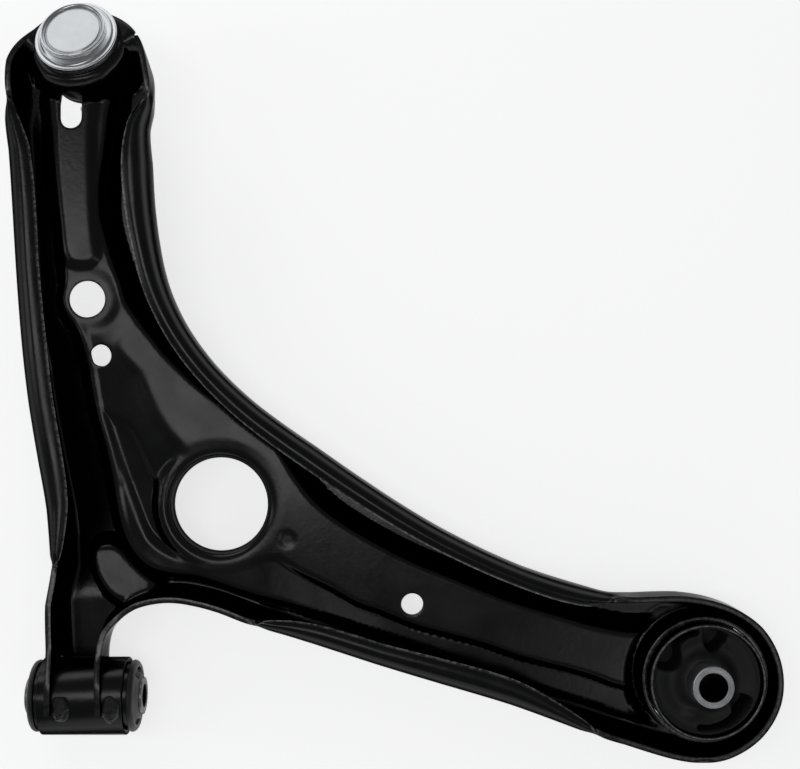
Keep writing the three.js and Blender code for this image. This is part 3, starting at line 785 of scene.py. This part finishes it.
def turned_metal(name, place, color, roughness, rings, dull, bore=0, depth=0.2):
    """Metal with fine turning rings about place's Z, and stains in which its color is dulled by dull.

    rings is how fine the rings are and depth how strongly they show. Inside a bore's radius the colour is painted
    near black, as painted shade down the bore.
    """
    made, tree, shader = new_material(name, color, roughness, 1)
    onto_axis = (TO_ROW @ place @ Matrix.Scale(1 / MM, 4)).inverted()
    local = tree.nodes.new("ShaderNodeMapping")
    local.inputs["Location"].default_value = onto_axis.to_translation()
    local.inputs["Rotation"].default_value = onto_axis.to_euler()
    tree.links.new(place_coordinates(tree), local.inputs["Vector"])
    flatten = tree.nodes.new("ShaderNodeVectorMath")
    flatten.operation = "MULTIPLY"
    flatten.inputs[1].default_value = (1, 1, 0)
    tree.links.new(local.outputs["Vector"], flatten.inputs[0])
    radius = length_of(tree, flatten.outputs["Vector"])
    split = tree.nodes.new("ShaderNodeSeparateXYZ")
    tree.links.new(local.outputs["Vector"], split.inputs["Vector"])
    grooves = tree.nodes.new("ShaderNodeTexNoise")
    grooves.noise_dimensions = "1D"
    grooves.inputs["Scale"].default_value = rings
    grooves.inputs["Detail"].default_value = 3
    # Radius plus height changes both across an end face and along a bore or a barrel.
    tree.links.new(combined(tree, "ADD", radius, split.outputs["Z"]), grooves.inputs["W"])
    stain = remap(tree, noise_field(tree, 160, 5), 0.35, 0.65, 0, 1)
    shade = two_tone(tree, stain, tuple(c * dull for c in color), color)
    # Painted shade: the bore's wall is coloured near black for the shade inside the hole.
    if bore:
        shader.inputs["Specular Tint"].default_value = (0.15, 0.15, 0.15, 1)
        out_of_bore = remap(tree, radius, (bore + 0.15) * MM, (bore + 0.5) * MM, 0, 1)
        shade = two_tone(tree, out_of_bore, (0.03, 0.03, 0.03), shade)
    tree.links.new(shade, shader.inputs["Base Color"])
    spread = 0.5 * depth
    gloss = remap(tree, grooves.outputs["Fac"], 0.3, 0.7, roughness - spread, roughness + spread)
    tree.links.new(gloss, shader.inputs["Roughness"])
    tree.links.new(bump(tree, grooves.outputs["Fac"], depth, 0.0001), shader.inputs["Normal"])
    return made


def seat_plastic():
    made, tree, shader = new_material("seat_plastic", (0.75, 0.73, 0.66), 0.5, 0)
    tone = two_tone(tree, noise_field(tree, 90, 4), (0.68, 0.66, 0.58), (0.8, 0.78, 0.72))
    tree.links.new(tone, shader.inputs["Base Color"])
    tree.links.new(bump(tree, noise_field(tree, 2500, 2), 0.1, 0.0001), shader.inputs["Normal"])
    return made


def floor_material():
    """A pale floor that glows a little, less so further out."""
    made, tree, shader = new_material("pale_floor", (0.9, 0.9, 0.9), 0.7, 0)
    tone = two_tone(tree, noise_field(tree, 3, 3), (0.89, 0.89, 0.89), (0.92, 0.92, 0.92))
    tree.links.new(tone, shader.inputs["Base Color"])
    shader.inputs["Emission Color"].default_value = (1, 1, 1, 1)
    near, far = 0.4, 1.6
    glow = remap(tree, length_of(tree, place_coordinates(tree)), near, far, 0.72, 0.35)
    tree.links.new(glow, shader.inputs["Emission Strength"])
    return made


PAINT = black_paint()
RUBBER = black_rubber()
WELD = weld_metal()
JOINT_ZINC = turned_metal("joint_zinc", ON_JOINT, (0.8, 0.82, 0.84), 0.22, 1500, 0.93)
SLEEVE_ZINC = turned_metal("sleeve_zinc", AT_REAR, (0.7, 0.71, 0.72), 0.36, 1800, 0.8, bore=7.5)
CAP_ZINC = turned_metal("cap_zinc", ON_JOINT, (0.82, 0.84, 0.86), 0.34, 1500, 0.94, depth=0.02)
PIN_STEEL = turned_metal("sleeve_steel", ALONG_X, (0.36, 0.36, 0.37), 0.4, 2200, 0.7, bore=6)
STUD_STEEL = turned_metal("stud_steel", ON_JOINT, (0.52, 0.52, 0.53), 0.32, 2200, 0.8)
PLASTIC = seat_plastic()

# ---------------------------------------------------------------- eye, welds and horizontal bush


def eye_tube():
    made = lathe("eye_tube", [[18.3, -23], [21, -23], [21, 23], [18.3, 23]], ALONG_X, 0.6, 160)
    return finish_piece(made, "arm", PAINT, "black_paint", "front_eye_tube")


def weld_bead(name, node, at, size, seed):
    """A lumpy bead at a point: a stretched ball with ripples along its length and lumps and pits from noise."""
    segments, rings = 120, 88
    points, faces = [], []
    for i in range(rings + 1):
        polar = math.pi * i / rings
        for k in range(segments):
            turn = 2 * math.pi * k / segments
            ball = Vector((math.sin(polar) * math.cos(turn), math.cos(polar), math.sin(polar) * math.sin(turn)))
            lumps = noise.noise(ball * 1.7 + Vector((seed, 0, 0)))
            pits = noise.noise(ball * 11 + Vector((0, seed, 0)))
            ripple = abs(math.sin(ball.y * 6 + 1.2 * ball.x))
            grow = 0.98 + 0.17 * lumps + 0.07 * pits + 0.03 * ripple
            points.append([at[n] + ball[n] * size[n] * grow for n in range(3)])
        if i:
            near, far = (i - 1) * segments, i * segments
            for k in range(segments):
                m = (k + 1) % segments
                faces.append((near + k, near + m, far + m, far + k))
    made = make_object(name, points, faces)
    modifier(made, "WELD", merge_threshold=1e-5)
    settle(made)
    face_out(made)
    return finish_piece(made, "arm", WELD, "black_paint", node)


def outer_sleeve():
    made = lathe("outer_sleeve", [[16.5, -25], [18.1, -25], [18.1, 25], [16.5, 25]], ALONG_X, 0.3, 128)
    return finish_piece(made, "arm", PAINT, "black_paint", "front_outer_sleeve")


def front_rubber():
    half_profile = [
        (16.3, 25.1), (19.2, 25.1), (19.5, 26.2), (18.9, 27.7), (17.4, 28.7), (16.6, 28.3), (15.6, 28.5),
        (13.2, 29.6), (11.2, 30.3), (10, 30.5),
    ]
    profile = [(r, -z) for r, z in reversed(half_profile)] + half_profile

    def recess(r, z, angle):
        """Two sunk arcs in each end face, one above the sleeve and one below."""
        across = abs(math.cos(angle))
        share = (1 - smoothstep(across, 0.45, 0.62)) * (1 - smoothstep(abs(r - 14), 1.1, 1.9))
        return r, z - math.copysign(2.6 * share, z) if abs(z) > 27 else z

    made = lathe("horizontal_bush_rubber", profile, ALONG_X, 0.9, 160, shift=recess, fine=0.7)
    return finish_piece(made, "arm", RUBBER, "black_rubber", "front_rubber")


def serrated(teeth, depth, end, inner, outer):
    """Radial teeth on both end faces of a sleeve whose ends lie at plus and minus end."""

    def shift(r, z, angle):
        if abs(abs(z) - end) > 0.3:
            return r, z
        tooth = abs((angle * teeth / (2 * math.pi)) % 1 - 0.5) * 2
        share = smoothstep(r, inner, inner + 0.6) * (1 - smoothstep(r, outer - 0.6, outer))
        return r, z - math.copysign(depth * tooth * share, z)

    return shift


def front_inner_sleeve():
    half = 31.8
    made = lathe("horizontal_sleeve", [[6, -half], [10, -half], [10, half], [6, half]], ALONG_X, 0.5, 192,
                 shift=serrated(32, 0.55, half, 6.2, 9.8), fine=0.6)
    return finish_piece(made, "front_pivot", PIN_STEEL, "bare_steel", "front_inner_sleeve")


# ---------------------------------------------------------------- vertical bush

CAN_TOP = 18
RUBBER_EDGE = 29.4
VOID_FLOOR = -7
# Pockets sunk in the rubber, as (angle in degrees, inner radius, outer radius) along each.
VOIDS = [
    [(98, 25.3, 27), (112, 24.6, 27.4), (126, 23, 27.4), (138, 17.6, 27.4), (152, 16.6, 27.4), (165, 19, 26.8)],
    [(64, 20.5, 26.5), (70, 16.8, 27.4), (79, 15.6, 27.6), (88, 17.4, 27.4), (92, 21, 26.5)],
    [(-99, 25.5, 27), (-84, 24.8, 27.4), (-66, 24.2, 27.4), (-50, 22.8, 27.4), (-40, 18.6, 27.4),
     (-30, 18.2, 27.3), (-22, 20.8, 26.6)],
]


def rear_can():
    profile = [[29.5, -17], [31.35, -17], [31.35, CAN_TOP], [29.5, CAN_TOP]]
    made = lathe("vertical_bush_can", profile, AT_REAR, 0.7, 192)
    # The can's top edge is marked to be painted lighter, as worn paint and as a painted highlight.
    top_edge = [(REAR.x + x, REAR.y + y, CAN_TOP, WEAR_AND_HIGHLIGHT["can"]) for x, y in circle(0, 0, 30.2, 0.5)]
    mark_edges(made, top_edge, 0.55)
    return finish_piece(made, "arm", PAINT, "black_paint", "rear_can")


def void_outline(rows):
    """One of VOIDS as a smooth closed outline about the bush's middle."""

    def polar(r, angle):
        turn = math.radians(angle)
        return r * math.cos(turn), r * math.sin(turn)

    points = [polar(far, angle) for angle, _, far in rows] + [polar(near, angle) for angle, near, _ in rows[::-1]]
    return spline(points, 0.7, closed=True)


def rear_rubber():
    flat, triangles = filled(circle(0, 0, RUBBER_EDGE, 0.8), [circle(0, 0, 10.9, 0.8)], 0.75)
    r = np.hypot(flat[:, 0], flat[:, 1])
    collar = 4.5 * np.exp(-(((r - 11) / 3.2) ** 2))
    rim = 1.5 * smoothstep(r, 26.5, 29)
    angle = np.degrees(np.arctan2(flat[:, 1], flat[:, 0]))
    stop = 2.2 * np.exp(-(((angle + 112) / 14) ** 2) - ((r - 20) / 3) ** 2)
    top = 11.5 + collar + rim + stop - 1.6 * np.exp(-(((r - 19) / 4) ** 2))
    for rows in VOIDS:
        top = mix(top, VOID_FLOOR, smoothstep(inside(void_outline(rows), flat[:, 0], flat[:, 1]), -0.4, 1.1))
    bottom = -11.5 - collar - rim
    count = len(flat)
    points = np.vstack([np.column_stack([flat, top]), np.column_stack([flat, bottom])])
    faces = [tuple(int(i) for i in f) for f in triangles]
    directed = {(f[i], f[(i + 1) % 3]) for f in faces for i in range(3)}
    # An edge that no other face runs back along is on the outline, and gets a side wall.
    walls = [(b, a, a + count, b + count) for a, b in directed if (b, a) not in directed]
    faces += [(c + count, b + count, a + count) for a, b, c in faces] + walls
    made = make_object("vertical_bush_rubber", points, faces, AT_REAR)
    face_out(made)
    axis = TO_ROW.to_3x3() @ Vector((1, 0, 0)) / MM
    start = TO_ROW @ REAR
    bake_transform(made, "arm", "rear_pivot", start=start, end=start + axis * (RUBBER_EDGE * MM))
    # The rubber stays with the can at its outside and goes with the sleeve at its middle, all the way round.
    follow = made.data.attributes["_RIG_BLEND"].data
    centre = TO_ARM @ start
    for vertex, weight in zip(made.data.vertices, follow):
        place = TO_ARM @ vertex.co
        away = math.hypot(place.x - centre.x, place.y - centre.y)
        weight.value = 1 - float(smoothstep(away, 11.5, 28))
    return finish_piece(made, None, RUBBER, "black_rubber", "rear_rubber")


def rear_inner_sleeve():
    low, high = -21.05, 30
    half = (high - low) / 2
    place = AT_REAR @ Matrix.Translation((0, 0, (low + high) / 2))
    made = lathe("vertical_sleeve", [[7.5, -half], [11, -half], [11, half], [7.5, half]], place, 0.55, 192,
                 shift=serrated(40, 0.15, half, 7.9, 10.6), fine=0.6)
    return finish_piece(made, "rear_pivot", SLEEVE_ZINC, "zinc_plate", "rear_inner_sleeve")


# ---------------------------------------------------------------- ball joint


def housing():
    profile = [
        (15.6, 4.1), (16.3, 4.9), (17.2, 5.3), (17.8, 4.7), (17.7, 3.6), (18.3, 2.9), (19.6, 0.5), (20.6, 0),
        (22.1, -0.1), (22.5, -0.6), (22.5, -4.4), (20, -4.4), (20, -16), (18, -17.5), (18, -24.5),
        (13.4, -24.5), (13.4, -22.9), (16.2, -16), (16.2, 2.2), (15.6, 2.6),
    ]
    made = lathe("ball_joint_body", profile, ON_JOINT, 0.45, 192)
    return finish_piece(made, "arm", JOINT_ZINC, "zinc_plate", "ball_joint_housing")


def cover():
    profile = [
        (0, 4.2), (13.2, 4.25), (14.4, 4.2), (14.9, 3.7), (15.3, 3.9), (15.5, 3.2), (15.5, 2.5), (0, 2.5),
    ]
    made = lathe("ball_joint_cap", profile, ON_JOINT, 0.3, 160, closed=False)
    return finish_piece(made, "arm", CAP_ZINC, "zinc_plate", "ball_joint_cover")


def ball_stud():
    place = ON_JOINT @ Matrix.Translation((0, 0, -BALL_DEPTH))
    ball = [(13.5 * math.cos(a), 13.5 * math.sin(a)) for a in np.radians(np.arange(85, -62, -5))]
    profile = [(0, 13.5), *ball, (6.5, -12.9), (6.5, -19), (9.3, -22), (9.6, -25), (8.7, -26.2), (7.4, -41),
               (6.1, -42.2), (6.1, -59), (5.1, -60), (0, -60)]

    tip, root, pitch, cut = -59.4, -42.4, 1.25, 0.7

    def thread(r, z, angle):
        if not tip < z < root or r < 4:
            return r, z
        turn = (z / pitch - angle / (2 * math.pi)) % 1
        fade = min(1, (z - tip) / 0.8, (root - z) / 0.8)
        return r - cut * fade * (1 - abs(2 * turn - 1)), z

    made = lathe("threaded_ball_stud", profile, place, 0.4, 96, shift=thread, closed=False, fine=0.25)
    return finish_piece(made, "stud", STUD_STEEL, "bare_steel", "ball_stud")


def dust_boot():
    outer = [
        (20.1, -19.3), (20.3, -21), (20.2, -22.6), (20.6, -23.8), (21.9, -25.2), (22.4, -27.2), (21.9, -28.6),
        (21.3, -29.4), (21.8, -30.4), (21.3, -32), (19.2, -33.6), (18.2, -34), (17.6, -35), (15.2, -36.4),
        (12.4, -36.9), (12.2, -38.2), (12.3, -39.2),
    ]
    inner = [
        (9.8, -39.3), (9.8, -36), (12, -35), (15.4, -34.2), (18, -32.2), (19.8, -30.6), (19.6, -29.2),
        (20.4, -27.4), (19.6, -25.8), (18.4, -24), (18.3, -19.2),
    ]
    made = lathe("bellows_boot", outer + inner, ON_JOINT, 0.7, 160, fine=0.6)
    top = ON_JOINT @ Vector((0, 0, -23))
    low = ON_JOINT @ Vector((0, 0, -37))
    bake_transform(made, "arm", "stud_swing", start=TO_ROW @ top, end=TO_ROW @ low)
    return finish_piece(made, None, RUBBER, "black_rubber", "dust_boot")


def boot_clip(name, node, body, r, z):
    """Two turns of spring wire, side by side, with their ends bent out."""
    turns, thick, stub, steps = 2, 0.5, 1.6, 72
    path = []
    for i in range(turns * steps + 1):
        turn = 2 * math.pi * i / steps
        path.append((r * math.cos(turn), r * math.sin(turn), z + (i / steps - turns / 2) * 2 * thick))
    start, end = path[0], path[-1]
    path = [(start[0] + stub, start[1] - stub, start[2]), *path, (end[0] + stub, end[1] + stub, end[2])]
    made = wire(name, path, thick, ON_JOINT)
    return finish_piece(made, body, STUD_STEEL, "bare_steel", node)


def dressed(name, node, body, material, slot, width):
    """A piece made from a CAD node's own shape, with its edges broken."""
    mesh = frame["nodes"][node].data.copy()
    made = bpy.data.objects.new(name, mesh)
    bpy.context.scene.collection.objects.link(made)
    modifier(made, "WELD", merge_threshold=1e-6)
    settle(made)
    modifier(made, "DECIMATE", decimate_type="DISSOLVE", angle_limit=math.radians(2))
    modifier(made, "BEVEL", width=width * MM, segments=3, limit_method="ANGLE", angle_limit=math.radians(40))
    settle(made)
    smooth_up_to(made, 35)
    return finish_piece(made, body, material, slot, node)


# ---------------------------------------------------------------- camera, lights and floor

CAMERA_AT = (172.15, 170.9, 750)
HUB_AT = (60, 120, 0)
FLOOR_REACH = 4000  # half the floor's width, in millimetres


def camera():
    """Straight above the arm's open side, as far off as keeps the photograph's perspective."""
    data = bpy.data.cameras.new("camera")
    data.lens = 61.4
    data.sensor_width = 36
    data.clip_start = 0.01
    made = bpy.data.objects.new("camera", data)
    bpy.context.scene.collection.objects.link(made)
    made.matrix_world = TO_ROW @ Matrix.Translation(CAMERA_AT) @ Matrix.Scale(1 / MM, 4)
    bpy.context.scene.camera = made


def area_light(name, at, aim, turn, width, height, radiance):
    """A soft box in the arm's frame, in millimetres, that faces aim. Its radiance doesn't hang on its size."""
    data = bpy.data.lights.new(name, "AREA")
    data.shape = "RECTANGLE"
    data.size = width * MM
    data.size_y = height * MM
    data.energy = radiance * math.pi * data.size * data.size_y
    made = bpy.data.objects.new(name, data)
    bpy.context.scene.collection.objects.link(made)
    start, end = TO_ROW @ Vector(at), TO_ROW @ Vector(aim)
    facing = (end - start).to_track_quat("-Z", "Y").to_matrix().to_4x4()
    made.matrix_world = Matrix.Translation(start) @ facing @ Matrix.Rotation(turn, 4, "Z")


def backdrop_light():
    """A pale backdrop near the horizon under a dim ceiling."""
    world = bpy.data.worlds.new("studio")
    world.use_nodes = True
    tree = world.node_tree
    split = tree.nodes.new("ShaderNodeSeparateXYZ")
    tree.links.new(tree.nodes.new("ShaderNodeTexCoord").outputs["Generated"], split.inputs["Vector"])
    background = tree.nodes["Background"]
    background.inputs["Color"].default_value = (0.95, 0.97, 1, 1)
    tree.links.new(remap(tree, split.outputs["Z"], 0.05, 0.4, 0.45, 0.11), background.inputs["Strength"])
    bpy.context.scene.world = world


def studio():
    """Soft boxes round the arm over a pale floor. The top one is turned so that limb and hub mirror it."""
    bpy.context.scene.view_settings.view_transform = "Standard"
    backdrop_light()
    area_light("top", (-190, 230, 1500), HUB_AT, math.radians(-33.5), 360, 960, 1.5)
    area_light("high_left", (-1300, 200, 900), HUB_AT, 0, 300, 900, 0.9)
    area_light("high_right", (700, -330, 1470), (338, 11, 0), 0, 420, 420, 0.6)
    area_light("front", (100, -1000, 380), (40, 250, 0), 0, 1000, 460, 0.24)
    area_light("back", (-366, 1210, 392), (0, 358, 20), 0, 900, 420, 0.95)
    corners = [(x * FLOOR_REACH, y * FLOOR_REACH, 0) for x, y in ((-1, -1), (1, -1), (1, 1), (-1, 1))]
    floor = make_object("floor", corners, [(0, 1, 2, 3)], TO_ARM @ Matrix.Scale(MM, 4))
    floor.data.materials.append(floor_material())


# ---------------------------------------------------------------- assembly

camera()
# These lie closed up inside the housing, so they keep their CAD shape and only get a material.
for node, material in (("preload_washer", RUBBER), ("ball_seat_upper", PLASTIC), ("ball_seat_lower", PLASTIC)):
    slots = frame["nodes"][node].data.materials
    slots.clear()
    slots.append(material)
arm_shell()
eye_tube()
weld_bead("left_weld", "weld_bead_left", (-9.2, -2.5, 20.2), (5.4, 7, 3.6), 3)
weld_bead("right_weld", "weld_bead_right", (17, -2.5, 20.2), (5, 7.2, 3.6), 11)
dressed("far_weld", "weld_bead_far", "arm", WELD, "black_paint", 0.3)
outer_sleeve()
front_rubber()
front_inner_sleeve()
rear_can()
rear_rubber()
rear_inner_sleeve()
housing()
cover()
ball_stud()
dust_boot()
boot_clip("lower_boot_ring", "boot_clip_lower", "arm", 20.9, -21.7)
boot_clip("upper_boot_ring", "boot_clip_upper", "stud_swing", 12.8, -38.2)
dressed("slotted_nut", "castle_nut", "stud", JOINT_ZINC, "zinc_plate", 0.5)
dressed("split_pin", "cotter_pin", "stud", STUD_STEEL, "bare_steel", 0.3)
studio()
